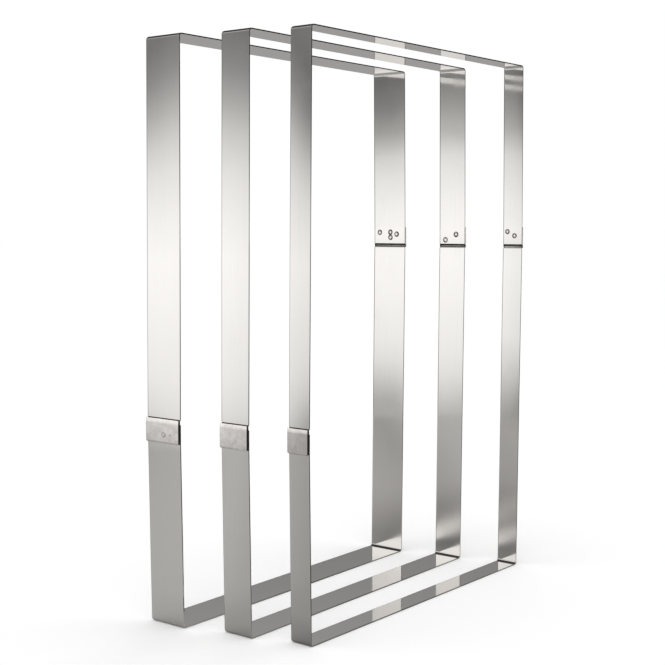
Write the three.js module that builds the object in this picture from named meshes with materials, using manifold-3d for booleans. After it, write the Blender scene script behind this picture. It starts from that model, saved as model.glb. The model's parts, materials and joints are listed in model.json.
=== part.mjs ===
// Set of three plug-together baking frames of polished stainless strip: deep, medium and shallow.
// They stand upright on their short sides, in a row, each a little aside of the one behind it.
// A frame is two halves of the same shape, one turned over. The end of each half's long arm is a
// tongue, set outward, that plugs into a flat sleeve welded outside the other half's short arm.
// Millimetres, +Z up. X runs across a frame, and Y along the row from the shallow frame to the deep one.

import * as THREE from 'three';
import { mergeVertices } from 'three/addons/utils/BufferGeometryUtils.js';
import Module from 'manifold-3d';

const wasm = await Module();
wasm.setup();

// Outer size of every frame, and the strip that it is bent from
const frameHeight = 580;
const frameWidth = 380;
const stripThickness = 1.2;
const bendRadius = 3.5; // outside of the corner bends
const shortArm = 203.5; // from the outside of the short side to the arm's end
const armBow = 3; // how far the arms spring outward by the time they reach the joints

// Strip depth of each frame, and how the frames stand in the row
const deepStrip = 45;
const mediumStrip = 35;
const shallowStrip = 25;
const rowGap = 38.5; // clear space between neighbours
const rowStagger = 17; // sideways step from each frame to the next
const shallowTurn = 1; // degrees that the shallow frame stands turned, clockwise from above

// Sleeve on the end of each short arm: a flattened tube of thin sheet
const sleeveLength = 20; // of the wall that is welded to the arm, from the arm's end
const sleeveSides = 2.8; // how far the sides reach past the arm's end
const sleeveLip = 1.2; // how far the outer wall reaches past the sides
const sleeveSheet = 0.4;
const sleeveOverhang = 0.2; // past each edge of the strip
const sleeveRadius = 0.7; // outside of the long folds
const pressedEnd = 3.5; // far end, pressed flat so that the tongue stops there
const pressedCornerCut = 1.5;

// Tongue on the end of each long arm
const joggleLength = 4.6; // height over which the strip steps outward
const joggleStand = 0.3; // between the step and the end of the other half's short arm
const tongueLead = 2; // corners cut off the tip

// Clearances
const weldGap = 0.1; // between the sleeve and the arm that carries it
const slideGap = 0.2; // around the tongue in its sleeve
const seatGap = 0.3; // between the tongue's tip and the pressed end
const cutMargin = 2; // how far cutting solids run past what they cut
const bendSegments = 6;

// Worked out from the sizes above
const sideOut = frameWidth / 2;
const jointOut = sideOut + armBow;
const jointHeight = frameHeight - shortArm; // end of the other half's short arm, on the long arm's side
const pocketDepth = sleeveLength - pressedEnd;
const pocketThickness = stripThickness + 2 * slideGap;
const sleeveThickness = pocketThickness + 2 * sleeveSheet;
const sleeveReach = sleeveSides + sleeveLip;
const joggleStep = stripThickness + weldGap + sleeveSheet + slideGap;
const joggleAngle = Math.atan2(joggleStep, joggleLength);
const innerShift = stripThickness * Math.tan(joggleAngle / 2); // keeps the strip as thick in the step
const joggleTop = jointHeight - joggleStand - innerShift; // on the outer face, as joggleFoot is
const joggleFoot = joggleTop - joggleLength;
const tongueTip = jointHeight + pocketDepth - seatGap;
const tongueInset = sleeveSheet + slideGap - sleeveOverhang; // each edge, from the strip's own edge

const steel = { color: 0xc6c9cb, metalness: 1, roughness: 0.16 };
const sleeveSteel = { color: 0xb4b7ba, metalness: 1, roughness: 0.24 };

function toSolid(geometry) {
  geometry.deleteAttribute('normal');
  geometry.deleteAttribute('uv');
  const merged = mergeVertices(geometry);
  return new wasm.Manifold(new wasm.Mesh({
    numProp: 3,
    vertProperties: new Float32Array(merged.attributes.position.array),
    triVerts: new Uint32Array(merged.index.array),
  }));
}

function toGeometry(solid) {
  const { vertProperties, triVerts } = solid.getMesh();
  const geometry = new THREE.BufferGeometry();
  geometry.setAttribute('position', new THREE.BufferAttribute(vertProperties, 3));
  geometry.setIndex(new THREE.BufferAttribute(triVerts, 1));
  geometry.computeVertexNormals();
  return geometry;
}

function polygon(points) {
  return new THREE.Shape(points.map(([across, up]) => new THREE.Vector2(across, up)));
}

// Solids drawn in one plane and extruded square to it, centred on that plane
function extrude(shape, depth) {
  const geometry = new THREE.ExtrudeGeometry(shape, { depth, bevelEnabled: false, curveSegments: bendSegments });
  return geometry.translate(0, 0, -depth / 2);
}

function extrudeAlongY(shape, depth) {
  return toSolid(extrude(shape, depth).rotateX(Math.PI / 2));
}

function extrudeAlongX(shape, depth) {
  const alongX = new THREE.Matrix4().makeBasis(
    new THREE.Vector3(0, 1, 0), new THREE.Vector3(0, 0, 1), new THREE.Vector3(1, 0, 0));
  return toSolid(extrude(shape, depth).applyMatrix4(alongX));
}

// One half of a frame, edge on: short arm on the left, short side below, long arm on the right
function halfOutline() {
  const inner = bendRadius - stripThickness;
  const sleeveFoot = shortArm - sleeveLength;
  const outline = new THREE.Shape();

  outline.moveTo(-jointOut, shortArm);
  outline.lineTo(-jointOut, sleeveFoot);
  outline.lineTo(-sideOut, bendRadius);
  outline.absarc(-sideOut + bendRadius, bendRadius, bendRadius, Math.PI, 1.5 * Math.PI, false);
  outline.absarc(sideOut - bendRadius, bendRadius, bendRadius, 1.5 * Math.PI, 2 * Math.PI, false);
  outline.lineTo(jointOut, joggleFoot);
  outline.lineTo(jointOut + joggleStep, joggleTop);
  outline.lineTo(jointOut + joggleStep, tongueTip);

  outline.lineTo(jointOut + joggleStep - stripThickness, tongueTip);
  outline.lineTo(jointOut + joggleStep - stripThickness, joggleTop + innerShift);
  outline.lineTo(jointOut - stripThickness, joggleFoot + innerShift);
  outline.lineTo(sideOut - stripThickness, bendRadius);
  outline.absarc(sideOut - bendRadius, bendRadius, inner, 2 * Math.PI, 1.5 * Math.PI, true);
  outline.absarc(-sideOut + bendRadius, bendRadius, inner, 1.5 * Math.PI, Math.PI, true);
  outline.lineTo(-jointOut + stripThickness, sleeveFoot);
  outline.lineTo(-jointOut + stripThickness, shortArm);
  return outline;
}

// What is cut off one edge of the strip, from the step to the tip, to make the tongue narrower
function tongueCut(stripDepth, side) {
  const outside = stripDepth / 2 + cutMargin;
  const edge = stripDepth / 2 - tongueInset;
  const points = [
    [side * outside, joggleFoot],
    [side * edge, joggleFoot],
    [side * edge, tongueTip - tongueLead],
    [side * (edge - tongueLead), tongueTip],
    [side * (edge - tongueLead), tongueTip + cutMargin],
    [side * outside, tongueTip + cutMargin],
  ];
  const thickness = joggleStep + stripThickness + 2 * cutMargin;
  return extrudeAlongX(polygon(points), thickness).translate([jointOut, 0, 0]);
}

function halfGeometry(stripDepth) {
  const strip = extrudeAlongY(halfOutline(), stripDepth);
  return toGeometry(strip.subtract(tongueCut(stripDepth, 1)).subtract(tongueCut(stripDepth, -1)));
}

// Cross-section of the flattened tube, from above
function tubeOutline(width) {
  const outside = sleeveThickness;
  const r = sleeveRadius;
  const y = width / 2;
  const outline = new THREE.Shape();
  outline.absarc(r, r - y, r, Math.PI, 1.5 * Math.PI, false);
  outline.absarc(outside - r, r - y, r, 1.5 * Math.PI, 2 * Math.PI, false);
  outline.absarc(outside - r, y - r, r, 0, 0.5 * Math.PI, false);
  outline.absarc(r, y - r, r, 0.5 * Math.PI, Math.PI, false);
  return outline;
}

// A sleeve with its welded wall on the plane X = 0, from the arm's end at height 0 down to its far end
function sleeveGeometry(stripDepth) {
  const width = stripDepth + 2 * sleeveOverhang;
  const edgeOn = polygon([
    [0, 0],
    [0, -sleeveLength],
    [2 * sleeveSheet, -sleeveLength],
    [sleeveThickness, -pocketDepth],
    [sleeveThickness, sleeveReach],
    [sleeveThickness - sleeveSheet, sleeveReach],
    [sleeveThickness - sleeveSheet, sleeveSides],
    [sleeveSheet, sleeveSides],
    [sleeveSheet, 0],
  ]);
  const faceOn = polygon([
    [width / 2, sleeveReach],
    [-width / 2, sleeveReach],
    [-width / 2, -sleeveLength + pressedCornerCut],
    [-width / 2 + pressedCornerCut, -sleeveLength],
    [width / 2 - pressedCornerCut, -sleeveLength],
    [width / 2, -sleeveLength + pressedCornerCut],
  ]);
  const length = sleeveLength + sleeveReach;
  const tube = toSolid(extrude(tubeOutline(width), length)).translate([0, 0, length / 2 - sleeveLength]);
  const body = tube
    .intersect(extrudeAlongY(edgeOn, width + cutMargin))
    .intersect(extrudeAlongX(faceOn, 2 * (sleeveThickness + cutMargin)));

  const pocketHeight = pocketDepth + sleeveReach + cutMargin;
  const pocketWidth = width - 2 * sleeveSheet;
  const pocket = toSolid(new THREE.BoxGeometry(pocketThickness, pocketWidth, pocketHeight))
    .translate([sleeveThickness / 2, 0, pocketHeight / 2 - pocketDepth]);
  return toGeometry(body.subtract(pocket));
}

function piece(name, geometry, look) {
  const mesh = new THREE.Mesh(geometry, new THREE.MeshStandardMaterial(look));
  mesh.name = name;
  return mesh;
}

// A half and the sleeve on the outside of its short arm, which is on the left
function halfWithSleeve(name, strip, sleeve) {
  const group = new THREE.Group();
  const tube = piece(`${name}_sleeve`, sleeve, sleeveSteel);
  tube.rotation.z = Math.PI;
  tube.position.set(-jointOut - weldGap, 0, shortArm);
  group.add(piece(`${name}_half`, strip, steel), tube);
  return group;
}

function frame(name, stripDepth) {
  const strip = halfGeometry(stripDepth);
  const sleeve = sleeveGeometry(stripDepth);
  const upper = halfWithSleeve(`${name}_upper`, strip, sleeve);
  upper.rotation.y = Math.PI;
  upper.position.z = frameHeight;
  const group = new THREE.Group();
  group.add(halfWithSleeve(`${name}_lower`, strip, sleeve), upper);
  return group;
}

const shallow = frame('shallow', shallowStrip);
const medium = frame('medium', mediumStrip);
const deep = frame('deep', deepStrip);
shallow.position.set(rowStagger, -(shallowStrip + mediumStrip) / 2 - rowGap, 0);
shallow.rotation.z = THREE.MathUtils.degToRad(-shallowTurn);
deep.position.set(-rowStagger, (mediumStrip + deepStrip) / 2 + rowGap, 0);

const row = new THREE.Group();
row.add(shallow, medium, deep);

// The origin lies on the surface that the frames stand on, under the middle of the whole row
const middle = new THREE.Box3().setFromObject(row, true).getCenter(new THREE.Vector3());
row.position.set(-middle.x, -middle.y, 0);

const bakingFrameSet = new THREE.Group();
bakingFrameSet.add(row);

export default bakingFrameSet;
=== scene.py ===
import json
import math

import bpy
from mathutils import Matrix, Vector


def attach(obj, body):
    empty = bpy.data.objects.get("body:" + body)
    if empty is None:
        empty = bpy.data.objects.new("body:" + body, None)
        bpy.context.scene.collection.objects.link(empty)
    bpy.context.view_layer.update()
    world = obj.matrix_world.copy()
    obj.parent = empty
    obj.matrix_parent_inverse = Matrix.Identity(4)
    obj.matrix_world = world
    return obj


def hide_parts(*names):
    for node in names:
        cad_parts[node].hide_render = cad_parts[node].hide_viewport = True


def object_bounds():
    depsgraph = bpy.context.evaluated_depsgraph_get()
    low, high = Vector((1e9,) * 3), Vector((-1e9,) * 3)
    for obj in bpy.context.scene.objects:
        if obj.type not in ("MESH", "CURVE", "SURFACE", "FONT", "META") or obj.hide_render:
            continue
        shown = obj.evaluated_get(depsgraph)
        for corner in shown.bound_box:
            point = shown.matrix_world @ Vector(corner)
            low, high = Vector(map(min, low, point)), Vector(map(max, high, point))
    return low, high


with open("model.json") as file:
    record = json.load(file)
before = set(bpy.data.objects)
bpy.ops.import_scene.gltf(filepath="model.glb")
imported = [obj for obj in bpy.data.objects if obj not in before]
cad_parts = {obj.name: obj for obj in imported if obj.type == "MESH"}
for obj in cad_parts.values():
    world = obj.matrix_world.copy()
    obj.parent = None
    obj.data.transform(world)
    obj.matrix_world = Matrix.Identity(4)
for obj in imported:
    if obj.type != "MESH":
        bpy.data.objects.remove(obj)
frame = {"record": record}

mm = 0.001
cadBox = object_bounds()
print("frame loaded")


def linear(hexColour):
    # sRGB hex to the linear colour that sockets take
    channels = []
    for place in (1, 3, 5):
        value = int(hexColour[place:place + 2], 16) / 255
        channels.append(value / 12.92 if value <= 0.04045 else ((value + 0.055) / 1.055) ** 2.4)
    return (*channels, 1.0)


def addNode(tree, kind, settings=None, values=None, links=None, stops=None):
    # stops are a colour ramp's places and colours, links are input: (node, output)
    node = tree.nodes.new(kind)
    for name, value in (settings or {}).items():
        setattr(node, name, value)
    for socket, value in (values or {}).items():
        node.inputs[socket].default_value = value
    for socket, (source, output) in (links or {}).items():
        tree.links.new(source.outputs[output], node.inputs[socket])
    for count, (place, colour) in enumerate(stops or []):
        ramp = node.color_ramp.elements
        stop = ramp[count] if count < 2 else ramp.new(place)
        stop.position = place
        stop.color = colour
    return node


def newMaterial(name):
    material = bpy.data.materials.new(name)
    material.use_nodes = True
    material.node_tree.nodes.clear()
    return material, material.node_tree


# Camera, at the photograph's angle

view = {
    "place": (-1079.2 * mm, -807.9 * mm, 395.8 * mm),
    "yaw": 52.41,       # degrees, from +Y towards +X
    "pitch": -4.79,
    "roll": 0.12,
    "lens": 68.06,      # on the 36 mm wide sensor
}

viewTurn = (math.radians(90 + view["pitch"]), math.radians(-view["roll"]), math.radians(-view["yaw"]))
bpy.ops.object.camera_add(location=view["place"], rotation=viewTurn)
bpy.context.object.data.lens = view["lens"]
bpy.context.scene.camera = bpy.context.object
bpy.context.scene.view_settings.view_transform = "Standard"
print("camera set")


# Studio: white floor and background, soft lamp overhead, a pale lit wall behind on the left

studio = {
    "floorSize": 40.0,          # metres, as are the places and lengths below
    "floorDrop": 0.1 * mm,      # keeps the floor off the faces that stand on it
    "floorWhite": 0.9,          # as the camera sees it, with the glow below
    "floorGlow": 0.1,
    "floorGrey": 0.5,           # as the steel sees it, near and far
    "floorFar": 0.37,
    "floorFade": (1.2, 3.5),
    "shadeReach": 0.4,          # what the row shades of it, from the middle outward
    "shadeTones": [(0.1, 0.25), (0.3, 0.5), (0.6, 0.95), (0.8, 1.0)],
    # the same sideways, in metres along the wall
    "sideTones": [(-0.25, 0.74), (-0.17, 0.78), (-0.1, 1.04), (0.0, 0.95),
                  (0.08, 0.75), (0.13, 0.85), (0.3, 1.0)],
    "frontReach": 4.0,          # how it darkens in front of the row, from far to near
    "frontTones": [(0.0, 0.4), (0.3, 0.25), (0.6, 0.08), (0.95, 0.04), (0.99, 1.0)],
    "fill": 1.0,                # light from all round
    "lampPlace": (-0.3, -0.2, 2.0),
    "lampSize": 2.0,
    "lampPower": 4.0,
    "wallAngle": 140.0,         # degrees from +X towards +Y
    "wallAway": 1.1,
    "wallWidth": 3.2,
    # metres sideways from its middle, and how brightly it is lit there
    "wallSideTones": [(-0.26, 0.7), (-0.08, 1.0), (0.1, 1.0), (0.22, 0.5), (0.4, 0.2)],
    # the same for how much its light is drawn together
    "wallPool": [(-0.2, 1.3), (-0.165, 1.22), (-0.13, 0.97), (-0.02, 0.94), (0.05, 1.14)],
    "wallMiddle": 0.22,         # share of its height, about which the light is drawn together
    "wallHeight": 1.4,
    "wallGlow": 1.3,
    # share of the wall's height, and how brightly it is lit there
    "wallTones": [(0.0, 0.40), (0.04, 0.60), (0.07, 0.74), (0.11, 0.83), (0.2, 0.92),
                  (0.25, 0.95), (0.30, 0.88), (0.35, 0.77), (0.39, 0.62), (0.43, 0.42),
                  (0.47, 0.26), (0.52, 0.17), (0.7, 0.25), (1.0, 0.5)],
    # the same for the rest of the room, from straight down to straight up
    "roomTones": [(0.4, 0.36), (0.43, 0.31), (0.5, 0.28), (0.6, 0.24), (0.63, 0.26), (0.66, 0.34),
                  (0.69, 0.3), (0.74, 0.1), (0.8, 0.05), (1.0, 0.03)],
    "darkAngle": -50.0,         # the dark end of the room, where only a strip at eye level is lit
    "darkHeight": -0.05,        # of its middle, at a distance of 1
    "darkSize": 0.9,            # how far it reaches from there
    "darkEdge": 0.4,            # share of that over which it fades in
    "darkTones": [(0.497, 0.32), (0.506, 0.27), (0.516, 0.1), (0.526, 0.03), (0.54, 0.01)],
    "paleAngle": -17.0,         # a pale patch beside it
    "paleSize": (0.5, 0.2, 0.4),    # its reach in depth, width and height, at a distance of 1
    "paleEdge": 0.3,
    "paleTone": 1.1,
}

warmth = (1.0, 0.994, 0.986)    # of the studio light
sideReach = 0.5                 # metres on each side, covered by a ramp that runs sideways
toneScale = 2.0                 # such a ramp's tones are divided by it, to stay below 1


def greys(pairs):
    # stops of a colour ramp
    return [(place, (tone, tone, tone, 1.0)) for place, tone in pairs]


def tones(pairs):
    # the same in the studio's light
    return [(place, (*(tone * tint for tint in warmth), 1.0)) for place, tone in pairs]


def sideways(pairs):
    # the same for a ramp that runs sideways
    return greys([(0.5 + place / (2 * sideReach), tone / toneScale) for place, tone in pairs])


def makeWorld():
    world = bpy.data.worlds.new("studio")
    world.use_nodes = True
    bpy.context.scene.world = world
    tree = world.node_tree
    tree.nodes.clear()
    ray = addNode(tree, "ShaderNodeLightPath")
    direction = addNode(tree, "ShaderNodeTexCoord")
    part = addNode(tree, "ShaderNodeSeparateXYZ", links={0: (direction, "Generated")})
    height = addNode(tree, "ShaderNodeMapRange", values={"From Min": -1.0, "From Max": 1.0},
                     links={"Value": (part, "Z")})
    # the room that the steel mirrors: grey walls, a dark ceiling
    room = addNode(tree, "ShaderNodeValToRGB", links={"Fac": (height, "Result")},
                   stops=tones(studio["roomTones"]))
    # the dark side of the room, in front on the right
    darkTurn = math.radians(studio["darkAngle"])
    darkPlace = (math.cos(darkTurn), math.sin(darkTurn), studio["darkHeight"])
    darkSize = studio["darkSize"]
    darkAt = addNode(tree, "ShaderNodeMapping", {"vector_type": "TEXTURE"}, {
        "Location": darkPlace, "Rotation": (0, 0, darkTurn),
        "Scale": (darkSize, darkSize, darkSize)}, {"Vector": (direction, "Generated")})
    darkBall = addNode(tree, "ShaderNodeTexGradient", {"gradient_type": "SPHERICAL"},
                       links={"Vector": (darkAt, "Vector")})
    darkAmount = addNode(tree, "ShaderNodeMapRange", {"interpolation_type": "SMOOTHSTEP"},
                         {"From Max": studio["darkEdge"]}, {"Value": (darkBall, "Fac")})
    dark = addNode(tree, "ShaderNodeValToRGB", links={"Fac": (height, "Result")},
                   stops=tones(studio["darkTones"]))
    darkened = addNode(tree, "ShaderNodeMix", {"data_type": "RGBA"},
                       links={"Factor": (darkAmount, "Result"), "A": (room, "Color"), "B": (dark, "Color")})
    # the pale patch
    paleTurn = math.radians(studio["paleAngle"])
    palePlace = (math.cos(paleTurn), math.sin(paleTurn), 0)
    paleAt = addNode(tree, "ShaderNodeMapping", {"vector_type": "TEXTURE"},
                     {"Location": palePlace, "Rotation": (0, 0, paleTurn), "Scale": studio["paleSize"]},
                     {"Vector": (direction, "Generated")})
    paleBall = addNode(tree, "ShaderNodeTexGradient", {"gradient_type": "SPHERICAL"},
                       links={"Vector": (paleAt, "Vector")})
    paleAmount = addNode(tree, "ShaderNodeMapRange", {"interpolation_type": "SMOOTHSTEP"},
                         {"From Max": studio["paleEdge"]}, {"Value": (paleBall, "Fac")})
    pale = studio["paleTone"]
    mirrored = addNode(tree, "ShaderNodeMix", {"data_type": "RGBA"}, {"B": (pale, pale, pale, 1)},
                       {"Factor": (paleAmount, "Result"), "A": (darkened, "Result")})
    # plain white light for all else, and white for the camera
    seenThrough = addNode(tree, "ShaderNodeMath", {"operation": "MAXIMUM"},
                          links={0: (ray, "Is Camera Ray"), 1: (ray, "Is Transmission Ray")})
    fill = studio["fill"]
    plain = addNode(tree, "ShaderNodeMix", {"data_type": "RGBA"},
                    {"A": (fill, fill, fill, 1), "B": (1, 1, 1, 1)}, {"Factor": (seenThrough, "Value")})
    shown = addNode(tree, "ShaderNodeMix", {"data_type": "RGBA"}, links={
        "Factor": (ray, "Is Glossy Ray"), "A": (plain, "Result"), "B": (mirrored, "Result")})
    background = addNode(tree, "ShaderNodeBackground", links={"Color": (shown, "Result")})
    addNode(tree, "ShaderNodeOutputWorld", links={"Surface": (background, "Background")})


def makeFloor():
    bpy.ops.object.select_all(action="DESELECT")
    bpy.ops.mesh.primitive_plane_add(size=studio["floorSize"], location=(0, 0, -studio["floorDrop"]))
    floor = bpy.context.object
    floor.name = "studio_floor"
    material, tree = newMaterial("white studio floor")
    ray = addNode(tree, "ShaderNodeLightPath")
    spot = addNode(tree, "ShaderNodeTexCoord")
    # as the steel sees it: greyer far away, shaded under the row, in front of it and to its sides
    away = addNode(tree, "ShaderNodeVectorMath", {"operation": "LENGTH"}, links={0: (spot, "Object")})
    grey = addNode(tree, "ShaderNodeMapRange", values={
        "From Min": studio["floorFade"][0], "From Max": studio["floorFade"][1],
        "To Min": studio["floorGrey"], "To Max": studio["floorFar"]}, links={"Value": (away, "Value")})
    share = addNode(tree, "ShaderNodeMapRange", values={"From Max": studio["shadeReach"]},
                    links={"Value": (away, "Value")})
    shade = addNode(tree, "ShaderNodeValToRGB", links={"Fac": (share, "Result")},
                    stops=tones(studio["shadeTones"]))
    part = addNode(tree, "ShaderNodeSeparateXYZ", links={0: (spot, "Object")})
    ahead = addNode(tree, "ShaderNodeMapRange", values={"From Min": -studio["frontReach"], "From Max": 0.0},
                    links={"Value": (part, "Y")})
    front = addNode(tree, "ShaderNodeValToRGB", links={"Fac": (ahead, "Result")},
                    stops=tones(studio["frontTones"]))
    wallTurn = math.radians(studio["wallAngle"])
    alongWall = (math.sin(wallTurn), -math.cos(wallTurn), 0)
    side = addNode(tree, "ShaderNodeVectorMath", {"operation": "DOT_PRODUCT"}, {1: alongWall},
                   {0: (spot, "Object")})
    sideShare = addNode(tree, "ShaderNodeMapRange", values={"From Min": -sideReach, "From Max": sideReach},
                        links={"Value": (side, "Value")})
    sideShade = addNode(tree, "ShaderNodeValToRGB", links={"Fac": (sideShare, "Result")},
                        stops=sideways(studio["sideTones"]))
    shaded = addNode(tree, "ShaderNodeVectorMath", {"operation": "MULTIPLY"},
                     links={0: (shade, "Color"), 1: (front, "Color")})
    shadedAside = addNode(tree, "ShaderNodeVectorMath", {"operation": "MULTIPLY"},
                          links={0: (shaded, "Vector"), 1: (sideShade, "Color")})
    scaled = addNode(tree, "ShaderNodeMath", {"operation": "MULTIPLY"}, {1: toneScale}, {0: (grey, "Result")})
    mirrored = addNode(tree, "ShaderNodeVectorMath", {"operation": "MULTIPLY"},
                       links={0: (scaled, "Value"), 1: (shadedAside, "Vector")})
    # as the camera sees it: white, with the row's shadow
    white = studio["floorWhite"]
    colour = addNode(tree, "ShaderNodeMix", {"data_type": "RGBA"}, {"B": (white, white, white, 1)},
                     {"Factor": (ray, "Is Camera Ray"), "A": (mirrored, "Vector")})
    matt = addNode(tree, "ShaderNodeBsdfDiffuse", links={"Color": (colour, "Result")})
    amount = addNode(tree, "ShaderNodeMath", {"operation": "MULTIPLY"}, {1: studio["floorGlow"]},
                     {0: (ray, "Is Camera Ray")})
    glow = addNode(tree, "ShaderNodeEmission", links={"Strength": (amount, "Value")})
    both = addNode(tree, "ShaderNodeAddShader", links={0: (matt, "BSDF"), 1: (glow, "Emission")})
    addNode(tree, "ShaderNodeOutputMaterial", links={"Surface": (both, "Shader")})
    floor.data.materials.append(material)


def makeWall():
    # lit most below its middle, seen only in the steel
    turn = math.radians(studio["wallAngle"])
    away = studio["wallAway"]
    wide = studio["wallWidth"]
    high = studio["wallHeight"]
    place = (away * math.cos(turn), away * math.sin(turn), high / 2)
    bpy.ops.object.select_all(action="DESELECT")
    bpy.ops.mesh.primitive_plane_add(size=1, location=place, rotation=(math.pi / 2, 0, turn - math.pi / 2))
    wall = bpy.context.object
    wall.name = "studio_wall"
    wall.scale = (wide, high, 1)
    bpy.ops.object.transform_apply(location=False, rotation=False, scale=True)
    material, tree = newMaterial("lit studio wall")
    spot = addNode(tree, "ShaderNodeTexCoord")
    part = addNode(tree, "ShaderNodeSeparateXYZ", links={0: (spot, "Object")})
    aside = addNode(tree, "ShaderNodeMapRange", values={"From Min": -sideReach, "From Max": sideReach},
                    links={"Value": (part, "X")})
    pool = addNode(tree, "ShaderNodeValToRGB", links={"Fac": (aside, "Result")},
                   stops=sideways(studio["wallPool"]))
    # height from the pool's middle, in shares of the wall's, stretched as the pool is drawn together
    centre = studio["wallMiddle"]
    above = addNode(tree, "ShaderNodeMath", {"operation": "ADD"}, {1: high / 2 - centre * high},
                    {0: (part, "Y")})
    drawn = addNode(tree, "ShaderNodeMath", {"operation": "MULTIPLY"},
                    links={0: (above, "Value"), 1: (pool, "Color")})
    rise = addNode(tree, "ShaderNodeMath", {"operation": "MULTIPLY_ADD"}, {1: toneScale / high, 2: centre},
                   {0: (drawn, "Value")})
    lit = addNode(tree, "ShaderNodeValToRGB", links={"Fac": (rise, "Value")},
                  stops=tones(studio["wallTones"]))
    dimmed = addNode(tree, "ShaderNodeValToRGB", links={"Fac": (aside, "Result")},
                     stops=sideways(studio["wallSideTones"]))
    bright = addNode(tree, "ShaderNodeMath", {"operation": "MULTIPLY"}, {1: toneScale * studio["wallGlow"]},
                     {0: (dimmed, "Color")})
    glow = addNode(tree, "ShaderNodeEmission",
                   links={"Color": (lit, "Color"), "Strength": (bright, "Value")})
    addNode(tree, "ShaderNodeOutputMaterial", links={"Surface": (glow, "Emission")})
    wall.data.materials.append(material)
    wall.visible_camera = False
    wall.visible_diffuse = False
    wall.visible_shadow = False
    wall.visible_transmission = False


def makeLamp():
    bpy.ops.object.light_add(type="AREA", location=studio["lampPlace"])
    lamp = bpy.context.object
    lamp.data.size = studio["lampSize"]
    lamp.data.energy = studio["lampPower"]


makeWorld()
makeFloor()
makeWall()
makeLamp()
print("studio set")


# Bright annealed stainless strip, cold rolled and polished: a cool mirror with a slight warmth,
# faint streaks along the strip, a little waviness in what it mirrors, a few smudges left by wiping, and
# darker bands on the right arms

polish = {
    "colour": "#e8e6e4",
    "streakColour": "#e1dfdc",
    "rough": 0.06,
    "smudgeRough": 0.12,
    "streakWidth": 0.9,     # mm, across the strip
    "streakLength": 160.0,  # mm
    "smudgeSize": 38.0,     # mm
    "smudgeRange": (0.45, 0.75),    # of the noise, from clean to smudged
    "waveSize": 70.0,       # mm
    "waveHeight": 0.02,     # mm
    # dust and darker bands on the right arms: their colour, and their share at each height in mm
    "layerSide": (100.0, 150.0),     # mm, from the middle towards the right
    "layerFront": (-45.0, -55.0),    # mm, towards the front, for the low darker band on the shallow frame only
    "layerHeight": 600.0,            # mm, the top of their scale
    "dustAndBands": {
        "dust": ("#e8e5e2", [(7.5, 0.0), (18, 0.5), (30, 0.8), (75, 0.7), (127, 0.0)]),
        # darker high up on the right arms
        "darkerHigh": ("#c4c1be", [(480, 0.0), (510, 0.65), (573, 0.65), (576, 0.0)]),
        # darker low down on the shallow frame's right arm
        "darkerLow": ("#c4c1be", [(40, 0.0), (60, 0.6), (200, 0.6), (270, 0.0)]),
    },
    "dustRough": 0.25,              # dust also dulls
}


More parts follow.
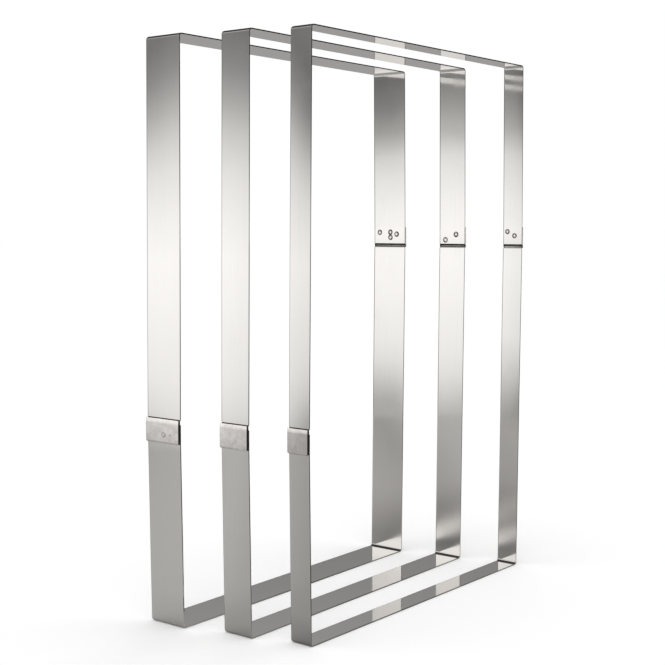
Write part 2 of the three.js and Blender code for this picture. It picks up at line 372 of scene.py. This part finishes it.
def makePolishedSteel():
    material, tree = newMaterial("polished stainless strip")
    spot = addNode(tree, "ShaderNodeTexCoord")
    # rolling streaks, drawn about ten times as coarse as they are so that they show
    long = 1 / (polish["streakLength"] * mm)
    fine = 1 / (polish["streakWidth"] * mm)
    drawn = addNode(tree, "ShaderNodeMapping", values={"Scale": (long, fine, long)},
                    links={"Vector": (spot, "Object")})
    streak = addNode(tree, "ShaderNodeTexNoise", values={"Scale": 1.0, "Detail": 3.0},
                     links={"Vector": (drawn, "Vector")})
    smudge = addNode(tree, "ShaderNodeTexNoise",
                     values={"Scale": 1 / (polish["smudgeSize"] * mm), "Detail": 4.0, "Roughness": 0.6},
                     links={"Vector": (spot, "Object")})
    wave = addNode(tree, "ShaderNodeTexNoise",
                   values={"Scale": 1 / (polish["waveSize"] * mm), "Detail": 1.0},
                   links={"Vector": (spot, "Object")})
    clean = addNode(tree, "ShaderNodeMix", {"data_type": "RGBA"},
                    {"A": linear(polish["colour"]), "B": linear(polish["streakColour"])},
                    {"Factor": (streak, "Fac")})
    # dust low on the right, a darker band high up, and on the shallow frame a darker band low down
    part = addNode(tree, "ShaderNodeSeparateXYZ", links={0: (spot, "Object")})
    rise = addNode(tree, "ShaderNodeMapRange", values={"From Max": polish["layerHeight"] * mm},
                   links={"Value": (part, "Z")})
    limits = {}
    for axis, (start, full) in (("X", polish["layerSide"]), ("Y", polish["layerFront"])):
        limits[axis] = addNode(tree, "ShaderNodeMapRange", {"interpolation_type": "SMOOTHSTEP"},
                               {"From Min": start * mm, "From Max": full * mm}, {"Value": (part, axis)})
    colour = clean
    shares = {}
    for layer, (layerColour, levels) in polish["dustAndBands"].items():
        stops = greys([(height / polish["layerHeight"], share) for height, share in levels])
        level = addNode(tree, "ShaderNodeValToRGB", links={"Fac": (rise, "Result")}, stops=stops)
        shares[layer] = addNode(tree, "ShaderNodeMath", {"operation": "MULTIPLY"},
                               links={0: (level, "Color"), 1: (limits["X"], "Result")})
        if layer == "darkerLow":
            shares[layer] = addNode(tree, "ShaderNodeMath", {"operation": "MULTIPLY"},
                                   links={0: (shares[layer], "Value"), 1: (limits["Y"], "Result")})
        colour = addNode(tree, "ShaderNodeMix", {"data_type": "RGBA"}, {"B": linear(layerColour)},
                         {"Factor": (shares[layer], "Value"), "A": (colour, "Result")})
    clear, full = polish["smudgeRange"]
    smudged = addNode(tree, "ShaderNodeMapRange", {"interpolation_type": "SMOOTHSTEP"}, {
        "From Min": clear, "From Max": full,
        "To Min": polish["rough"], "To Max": polish["smudgeRough"]}, {"Value": (smudge, "Fac")})
    rough = addNode(tree, "ShaderNodeMapRange", values={"To Max": polish["dustRough"]},
                    links={"Value": (shares["dust"], "Value"), "To Min": (smudged, "Result")})
    bump = addNode(tree, "ShaderNodeBump", values={"Strength": 1.0, "Distance": polish["waveHeight"] * mm},
                   links={"Height": (wave, "Fac")})
    steel = addNode(tree, "ShaderNodeBsdfPrincipled", values={"Metallic": 1.0}, links={
        "Base Color": (colour, "Result"), "Roughness": (rough, "Result"), "Normal": (bump, "Normal")})
    addNode(tree, "ShaderNodeOutputMaterial", links={"Surface": (steel, "BSDF")})
    return material


# The tongue, as it left the press: dull grey, scuffed where it slides. Its step outward lies in shade behind
# the sleeve's mouth, and that shade is painted on it, nearly black

pressed = {
    "tongue": ("#9c9996", "#b9b6b2"),
    # painted shade of the step: nearly black, with lighter scuffs
    "stepShade": ("#4a4744", "#7c7975"),
    "rough": (0.5, 0.35),
    "scuffSize": 2.5,       # mm
    "scuffRange": (0.5, 0.75),      # of the noise, from dull to scuffed
}


def makePressedSteel(name, colours):
    material, tree = newMaterial(name)
    spot = addNode(tree, "ShaderNodeTexCoord")
    scuff = addNode(tree, "ShaderNodeTexNoise",
                    values={"Scale": 1 / (pressed["scuffSize"] * mm), "Detail": 3.0},
                    links={"Vector": (spot, "Object")})
    start, full = pressed["scuffRange"]
    amount = addNode(tree, "ShaderNodeMapRange", values={"From Min": start, "From Max": full},
                     links={"Value": (scuff, "Fac")})
    colour = addNode(tree, "ShaderNodeMix", {"data_type": "RGBA"},
                     {"A": linear(colours[0]), "B": linear(colours[1])}, {"Factor": (amount, "Result")})
    dull, scuffed = pressed["rough"]
    rough = addNode(tree, "ShaderNodeMapRange", values={"To Min": dull, "To Max": scuffed},
                    links={"Value": (scuff, "Fac")})
    steel = addNode(tree, "ShaderNodeBsdfPrincipled", values={"Metallic": 1.0},
                    links={"Base Color": (colour, "Result"), "Roughness": (rough, "Result")})
    addNode(tree, "ShaderNodeOutputMaterial", links={"Surface": (steel, "BSDF")})
    return material


# Thin rolled stainless sheet, folded and pressed: satin, a little greyer than the strip, slightly uneven

sheet = {
    "colour": "#e7e4e1",
    "patchColour": "#d9d4d1",
    "rough": 0.07,
    "patchRough": 0.14,
    "patchSize": 6.0,       # mm
    "patchRange": (0.35, 0.65),     # of the noise, for the colour
    "roughRange": (0.3, 0.7),       # and for the roughness
    "dentHeight": 0.035,    # mm
}


def makeSheetSteel():
    material, tree = newMaterial("rolled stainless sheet")
    spot = addNode(tree, "ShaderNodeTexCoord")
    patch = addNode(tree, "ShaderNodeTexNoise",
                    values={"Scale": 1 / (sheet["patchSize"] * mm), "Detail": 3.0},
                    links={"Vector": (spot, "Object")})
    start, full = sheet["patchRange"]
    uneven = addNode(tree, "ShaderNodeMapRange", values={"From Min": start, "From Max": full},
                     links={"Value": (patch, "Fac")})
    colour = addNode(tree, "ShaderNodeMix", {"data_type": "RGBA"},
                     {"A": linear(sheet["colour"]), "B": linear(sheet["patchColour"])},
                     {"Factor": (uneven, "Result")})
    start, full = sheet["roughRange"]
    rough = addNode(tree, "ShaderNodeMapRange", values={
        "From Min": start, "From Max": full,
        "To Min": sheet["rough"], "To Max": sheet["patchRough"]}, links={"Value": (patch, "Fac")})
    bump = addNode(tree, "ShaderNodeBump", values={"Strength": 1.0, "Distance": sheet["dentHeight"] * mm},
                   links={"Height": (patch, "Fac")})
    steel = addNode(tree, "ShaderNodeBsdfPrincipled", values={"Metallic": 1.0}, links={
        "Base Color": (colour, "Result"), "Roughness": (rough, "Result"), "Normal": (bump, "Normal")})
    addNode(tree, "ShaderNodeOutputMaterial", links={"Surface": (steel, "BSDF")})
    return material


# Spot weld: steel that was melted and pressed, browned a little by the heat round its rim

weldSteel = {
    "middle": ("#e6e3e0", "#d8d4d0"),
    "rim": ("#b5afa9", "#4c4641"),
    "print": ("#d9d5d0", "#a39d97"),
    "burnt": ("#302c29", "#1e1b19"),
    "rough": 0.16,
    "grain": 3.0,           # mm
    "grainRange": (0.38, 0.62),     # of the noise, from the first colour to the second
}


def makeWeldSteel(name, colours):
    material, tree = newMaterial(name)
    spot = addNode(tree, "ShaderNodeTexCoord")
    grain = addNode(tree, "ShaderNodeTexNoise",
                    values={"Scale": 1 / (weldSteel["grain"] * mm), "Detail": 2.0},
                    links={"Vector": (spot, "Object")})
    start, full = weldSteel["grainRange"]
    uneven = addNode(tree, "ShaderNodeMapRange", values={"From Min": start, "From Max": full},
                     links={"Value": (grain, "Fac")})
    colour = addNode(tree, "ShaderNodeMix", {"data_type": "RGBA"},
                     {"A": linear(colours[0]), "B": linear(colours[1])}, {"Factor": (uneven, "Result")})
    steel = addNode(tree, "ShaderNodeBsdfPrincipled",
                    values={"Metallic": 1.0, "Roughness": weldSteel["rough"]},
                    links={"Base Color": (colour, "Result")})
    addNode(tree, "ShaderNodeOutputMaterial", links={"Surface": (steel, "BSDF")})
    return material


polishedSteel = makePolishedSteel()
pressedSteel = makePressedSteel("pressed stainless tongue", pressed["tongue"])
# the step outward, painted nearly black as the shade behind the sleeve's mouth
stepShadeSteel = makePressedSteel("painted shade in the pressed step", pressed["stepShade"])
sheetSteel = makeSheetSteel()
weldedSteel = makeWeldSteel("pressed spot weld", weldSteel["middle"])
tintedSteel = makeWeldSteel("heat tinted rim of a spot weld", weldSteel["rim"])
printedSteel = makeWeldSteel("spot weld seen through the sheet", weldSteel["print"])
burntSteel = makeWeldSteel("burnt pit of a spot weld", weldSteel["burnt"])
print("materials made")


# Shared by the modelling below

up = Vector((0, 0, 1))
facingUp = 0.9              # least height of such a face's normal
slack = 0.01 * mm           # in picking by place
mergeReach = 0.001 * mm


def startPlane(width, depth, place):
    # a flat face of that size, in edit mode and selected
    bpy.ops.object.select_all(action="DESELECT")
    bpy.ops.mesh.primitive_plane_add(size=1, location=place)
    plane = bpy.context.object
    plane.scale = (width, depth, 1)
    bpy.ops.object.transform_apply(location=True, rotation=True, scale=True)
    bpy.ops.object.mode_set(mode="EDIT")
    bpy.ops.mesh.select_mode(type="VERT")
    bpy.ops.mesh.select_all(action="SELECT")
    return plane


def pull(across, rise, narrow=1.0):
    # draws the selected end face on
    bpy.ops.mesh.extrude_region_move(TRANSFORM_OT_translate={"value": (across, 0, rise)})
    if narrow != 1.0:
        bpy.ops.transform.resize(value=(1, narrow, 1), center_override=(0, 0, 0))


def selectFaces(piece, wanted):
    # wanted is a test on a face's middle and normal
    bpy.ops.mesh.select_mode(type="FACE")
    bpy.ops.mesh.select_all(action="DESELECT")
    bpy.ops.object.mode_set(mode="OBJECT")
    for face in piece.data.polygons:
        face.select = wanted(face.center, face.normal)
    bpy.ops.object.mode_set(mode="EDIT")


def selectCorners(piece, wanted):
    # the same for corners, by their place
    bpy.ops.mesh.select_mode(type="VERT")
    bpy.ops.mesh.select_all(action="DESELECT")
    bpy.ops.object.mode_set(mode="OBJECT")
    for corner in piece.data.vertices:
        corner.select = wanted(corner.co)
    bpy.ops.object.mode_set(mode="EDIT")


def finishMesh():
    bpy.ops.mesh.select_all(action="SELECT")
    bpy.ops.mesh.remove_doubles(threshold=mergeReach)
    bpy.ops.mesh.normals_make_consistent(inside=False)
    bpy.ops.object.mode_set(mode="OBJECT")


def smoothMesh(piece):
    # flat faces keep their own normals, so that they mirror straight
    bpy.ops.object.shade_smooth()
    even = piece.modifiers.new("even", "WEIGHTED_NORMAL")
    even.weight = 100       # by the largest faces alone
    for modifier in list(piece.modifiers):
        bpy.ops.object.modifier_apply(modifier=modifier.name)


# One half of a frame: short arm on the left, short side below, long arm on the right

strip = {
    "depth": {"deep": 45 * mm, "medium": 35 * mm, "shallow": 25 * mm},
    "thick": 1.2 * mm,
    "frontRound": 0.06 * mm,    # along its edges
    "frontSteps": 4,
    "backRound": 0.55 * mm,
    "backSteps": 6,
    "backReach": 1.4 * mm,      # of the back edge's rounding, over the faces
    "outside": 190 * mm,        # middle of the frame to the outer face, at the bends
    "bow": 3 * mm,              # outward by the joints
    "bendRadius": 3.5 * mm,     # outside
    "bendSteps": 10,
    "armEnd": 203.5 * mm,
    "sleeveFoot": 183.5 * mm,
    "stepFoot": 371.4 * mm,     # where the long arm starts to step outward
    "stepRise": 4.8 * mm,
    "stepInside": 3.2 * mm,     # of it, still polished on the inside and on the outside, before the painted shade begins
    "stepOutside": 0.2 * mm,
    "stepOut": 1.9 * mm,
    "stepSteps": 8,
    "stepShadeReach": 1.0 * mm,     # past the step, how far its painted shade reaches
    "tongueTip": 392.7 * mm,
    "tongueLead": 2 * mm,       # corners taken off the tip
    "tongueInset": 0.55 * mm,
}


def modelHalf(name):
    depth = strip["depth"][name]
    thick = strip["thick"]
    radius = strip["bendRadius"]
    outside = strip["outside"]
    bow = strip["bow"]
    # its cross-section, at the short arm's end
    half = startPlane(thick, depth, (thick / 2 - outside - bow, 0, strip["armEnd"]))
    backRound = strip["backRound"]
    selectCorners(half, lambda place: place.y < 0)
    bpy.ops.mesh.bevel(offset=strip["frontRound"], segments=strip["frontSteps"], affect="VERTICES")
    selectCorners(half, lambda place: place.y > 0)
    bpy.ops.mesh.bevel(offset=backRound, segments=strip["backSteps"], affect="VERTICES")
    selectCorners(half, lambda place: place.y > depth / 2 - backRound - slack)
    stretch = strip["backReach"] / backRound
    bpy.ops.transform.resize(value=(1, stretch, 1), center_override=(0, depth / 2, 0))
    bpy.ops.mesh.select_all(action="SELECT")
    # down the short arm, along the short side and up the long arm
    bend = {"steps": strip["bendSteps"], "angle": math.pi / 2, "axis": (0, 1, 0)}
    pull(0, strip["sleeveFoot"] - strip["armEnd"])
    pull(bow, radius - strip["sleeveFoot"])
    bpy.ops.mesh.spin(center=(radius - outside, 0, radius), **bend)
    pull(2 * (outside - radius), 0)
    bpy.ops.mesh.spin(center=(outside - radius, 0, radius), **bend)
    pull(bow, strip["stepFoot"] - radius)
    # the pressed step outward, an S that eases in and out
    done = 0
    narrow = 1 - 2 * strip["tongueInset"] / depth
    steps = strip["stepSteps"]
    for count in range(steps):
        along = (count + 1) / steps
        eased = along - math.sin(2 * math.pi * along) / (2 * math.pi)
        pull((eased - done) * strip["stepOut"], strip["stepRise"] / steps, narrow if count == 0 else 1.0)
        done = eased
    tongueFoot = strip["stepFoot"] + strip["stepRise"] + strip["stepShadeReach"]
    pull(0, strip["stepShadeReach"])
    pull(0, strip["tongueTip"] - strip["tongueLead"] - tongueFoot)
    pull(0, strip["tongueLead"], 1 - 2 * strip["tongueLead"] / depth)
    # the step is painted nearly black as the shade behind the sleeve's mouth, and the tongue stays as pressed
    for steel in (polishedSteel, stepShadeSteel, pressedSteel):
        half.data.materials.append(steel)
    outer = strip["stepFoot"] + strip["stepOutside"]
    inner = strip["stepFoot"] + strip["stepInside"]
    bpy.ops.mesh.select_all(action="SELECT")
    bpy.ops.mesh.normals_make_consistent(inside=False)
    selectFaces(half, lambda place, normal: place.z > (inner if normal.x < 0 else outer))
    half.active_material_index = 1
    bpy.ops.object.material_slot_assign()
    selectFaces(half, lambda place, normal: place.z > tongueFoot)
    half.active_material_index = 2
    bpy.ops.object.material_slot_assign()
    finishMesh()
    smoothMesh(half)
    return half


# The sleeve on the outside of the short arm's end: a flattened tube, its far end pressed flat

sleeve = {
    "wall": 0.4 * mm,
    "thick": 2.4 * mm,
    "overhang": 0.15 * mm,      # past each edge of the strip, along the welded wall
    "drawnIn": 0.21 * mm,       # each side, from there to the outer wall
    "weldGap": 0.1 * mm,
    "foldRadius": 0.4 * mm,     # of the outer wall
    "foldSteps": 4,
    "pocket": 16.5 * mm,        # from the arm's end to the pressed part
    "pressed": 3.5 * mm,
    "pressedSteps": 8,
    "pressedFrom": 0.5,         # share of it that keeps the tube's thickness
    "cornerRound": 1.8 * mm,
    "sides": 2.8 * mm,          # past the arm's end
    "lip": 1.5 * mm,            # the outer wall, past the sides
    "lipLean": 0.4 * mm,        # its curl inward
    "edgeRound": 0.1 * mm,
    "edgeSteps": 2,
    "edgeAngle": 50.0,          # degrees, the least that is rounded
}


def modelSleeve(name):
    thick = sleeve["thick"]
    wall = sleeve["wall"]
    width = strip["depth"][name] + 2 * sleeve["overhang"]
    welded = -strip["outside"] - strip["bow"] - sleeve["weldGap"]
    middle = welded - thick / 2
    armEnd = strip["armEnd"]
    pocketFloor = armEnd - sleeve["pocket"]
    tube = startPlane(thick, width, (middle, 0, pocketFloor))
    selectCorners(tube, lambda place: place.x < middle)
    bpy.ops.transform.resize(value=(1, 1 - 2 * sleeve["drawnIn"] / width, 1), center_override=(0, 0, 0))
    bpy.ops.mesh.select_all(action="SELECT")
    # pressed down to two sheets, with its corners rounded off
    steps = sleeve["pressedSteps"]
    flat = 2 * wall
    lastThick = thick
    lastWidth = width
    for count in range(steps):
        along = (count + 1) / steps
        turned = max(0.0, (along - sleeve["pressedFrom"]) / (1 - sleeve["pressedFrom"]))
        nextThick = flat + (thick - flat) * math.sqrt(1 - turned ** 2)
        past = max(0.0, along * sleeve["pressed"] - sleeve["pressed"] + sleeve["cornerRound"])
        nextWidth = width - 2 * (sleeve["cornerRound"] - math.sqrt(sleeve["cornerRound"] ** 2 - past ** 2))
        pull(0, -sleeve["pressed"] / steps)
        squeeze = (nextThick / lastThick, nextWidth / lastWidth, 1)
        bpy.ops.transform.resize(value=squeeze, center_override=(welded, 0, 0))
        lastThick = nextThick
        lastWidth = nextWidth
    bpy.ops.mesh.select_all(action="SELECT")
    bpy.ops.mesh.normals_make_consistent(inside=False)
    # walls of the pocket, up to the arm's end
    selectFaces(tube, lambda place, normal: normal.z > facingUp and place.z > pocketFloor - wall / 2)
    bpy.ops.mesh.inset(thickness=wall)
    rim = thick / 2 - wall
    selectFaces(tube, lambda place, normal: normal.z > facingUp and (
        abs(place.x - middle) > rim or abs(place.y) > width / 2 - wall))
    bpy.ops.mesh.extrude_region_move(TRANSFORM_OT_translate={"value": (0, 0, sleeve["pocket"])})
    # on without the welded wall, then the outer wall alone, which curls inward
    lip = armEnd + sleeve["sides"] + sleeve["lip"]
    outerWall = welded - thick + wall
    for start, end, edge in ((armEnd, armEnd + sleeve["sides"], middle + wall),
                             (armEnd + sleeve["sides"], lip, outerWall)):
        selectFaces(tube, lambda place, normal: (
            normal.z > facingUp and place.z > start - wall / 2 and place.x < edge))
        for level in (start, (start + end) / 2):
            rise = (end - start) / 2
            lean = [((height - armEnd) / (lip - armEnd)) ** 2 for height in (level, level + rise)]
            pull(sleeve["lipLean"] * (lean[1] - lean[0]), rise)
    # the long folds of the outer wall, one at a time, clear of the pocket's own corners
    for side in (-1, 1):
        selectCorners(tube, lambda place: place.x < middle and side * place.y > width / 2 - (
            2 * sleeve["drawnIn"] if place.z > pocketFloor else sleeve["cornerRound"]))
        bpy.ops.mesh.bevel(offset=sleeve["foldRadius"], segments=sleeve["foldSteps"], affect="EDGES")
    finishMesh()
    tube.data.materials.append(sheetSteel)
    edges = tube.modifiers.new("edges", "BEVEL")
    edges.width = sleeve["edgeRound"]
    edges.segments = sleeve["edgeSteps"]
    edges.angle_limit = math.radians(sleeve["edgeAngle"])
    smoothMesh(tube)
    return tube


# Spot welds on the inside of the short arm's end, and where they show through the deep sleeve

weld = {
    "radius": 3.4 * mm,
    "rim": 0.8,                 # share of the radius, to the top of the raised rim
    "dish": 0.42,               # the same, to the edge of its middle
    "core": 0.1,                # the same, for what counts as its middle
    "rimHeight": 0.16 * mm,
    "dishHeight": 0.06 * mm,
    "sunk": 0.1 * mm,
    "sides": 28,
    # kind, share of the strip's depth from its back edge, distance from the arm's end, size
    "inside": {
        "deep": [("ring", 0.185, 13.1 * mm, 1.0), ("ring", 0.53, 13.4 * mm, 1.0),
                 ("ring", 0.535, 7.2 * mm, 1.0), ("ring", 0.735, 11.0 * mm, 1.0),
                 ("pit", 0.53, 10.3 * mm, 0.32)],
        "medium": [("ring", 0.24, 4.5 * mm, 1.0), ("ring", 0.66, 11.0 * mm, 1.0)],
        "shallow": [("ring", 0.23, 14.5 * mm, 0.9), ("ring", 0.61, 9.8 * mm, 0.9)],
    },
    "outside": {
        "deep": [("print", 0.55, 10.8 * mm, 0.9), ("print", 0.74, 10.8 * mm, 0.4)],
        "medium": [],
        "shallow": [],
    },
    # steel of the rim and of the middle, and how much of the height it keeps
    "kinds": {
        "ring": (tintedSteel, weldedSteel, 1.0),
        "pit": (burntSteel, burntSteel, 1.0),
        "print": (printedSteel, weldedSteel, 0.4),
    },
}


def modelWeld(kind, place, facing, scale):
    # a disc on the face at that place, drawn out into a rim and a dished middle
    bpy.ops.object.select_all(action="DESELECT")
    turn = (0, facing * math.pi / 2, 0)
    base = place - Vector((facing * weld["sunk"], 0, 0))
    size = weld["radius"] * scale
    bpy.ops.mesh.primitive_circle_add(vertices=weld["sides"], radius=size, fill_type="NGON",
                                      location=base, rotation=turn)
    bpy.ops.object.transform_apply(location=True, rotation=True, scale=True)
    mark = bpy.context.object
    bpy.ops.object.mode_set(mode="EDIT")
    bpy.ops.mesh.select_all(action="SELECT")
    rimSteel, middleSteel, relief = weld["kinds"][kind]
    share = 1.0
    level = 0
    profile = ((1.0, 0), (weld["rim"], weld["rimHeight"]), (weld["dish"], weld["dishHeight"]))
    for nextShare, height in profile:
        nextLevel = weld["sunk"] + relief * height
        pull(facing * (nextLevel - level), 0)
        narrow = nextShare / share
        bpy.ops.transform.resize(value=(1, narrow, narrow), center_override=place)
        share = nextShare
        level = nextLevel
    mark.data.materials.append(rimSteel)
    mark.data.materials.append(middleSteel)
    selectFaces(mark, lambda middle, normal: (middle - place).length < weld["core"] * size)
    mark.active_material_index = 1
    bpy.ops.object.material_slot_assign()
    finishMesh()
    return mark


def modelWelds(name):
    depth = strip["depth"][name]
    outerFace = -strip["outside"] - strip["bow"]
    innerFace = outerFace + strip["thick"]
    sleeveFace = outerFace - sleeve["weldGap"] - sleeve["thick"]
    marks = []
    for side, face, facing in (("inside", innerFace, 1), ("outside", sleeveFace, -1)):
        for kind, share, down, scale in weld[side][name]:
            place = Vector((face, depth / 2 - depth * share, strip["armEnd"] - down))
            marks.append(modelWeld(kind, place, facing, scale))
    bpy.ops.object.select_all(action="DESELECT")
    for mark in marks:
        mark.select_set(True)
    bpy.context.view_layer.objects.active = marks[0]
    bpy.ops.object.join()
    return marks[0]


# The row of frames: each lower half, and its copy turned over

row = {
    "turn": {"deep": 0.0, "medium": 0.0, "shallow": -1.0},      # degrees
}

feet = {mount["name"]: Vector(mount["pos_m"]) for mount in frame["record"]["mounts"]}
frameHeight = cadBox[1].z


def setInRow(piece, name, upper):
    bpy.ops.object.select_all(action="DESELECT")
    piece.select_set(True)
    bpy.context.view_layer.objects.active = piece
    piece.rotation_euler = (0, math.pi if upper else 0, math.radians(row["turn"][name]))
    piece.location = feet[name + "_foot"] + (up * frameHeight if upper else Vector())
    bpy.ops.object.transform_apply(location=True, rotation=True, scale=True)


def turnedCopy(piece, name):
    bpy.ops.object.select_all(action="DESELECT")
    piece.select_set(True)
    bpy.context.view_layer.objects.active = piece
    bpy.ops.object.duplicate()
    copy = bpy.context.object
    copy.name = name
    copy.data.name = name
    return copy


for name in strip["depth"]:
    for kind, model, node, slotName in (
            ("strip", modelHalf, "half", "strip_steel"),
            ("sleeve_tube", modelSleeve, "sleeve", "sleeve_steel"),
            ("welds", modelWelds, None, "strip_steel")):
        lower = model(name)
        lower.name = name + "_lower_" + kind
        lower.data.name = lower.name
        upper = turnedCopy(lower, name + "_upper_" + kind)
        for level, piece in (("lower", lower), ("upper", upper)):
            setInRow(piece, name, level == "upper")
            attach(piece, name + "_" + level)
            if node:
                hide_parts(name + "_" + level + "_" + node)
    print(name, "frame modelled")
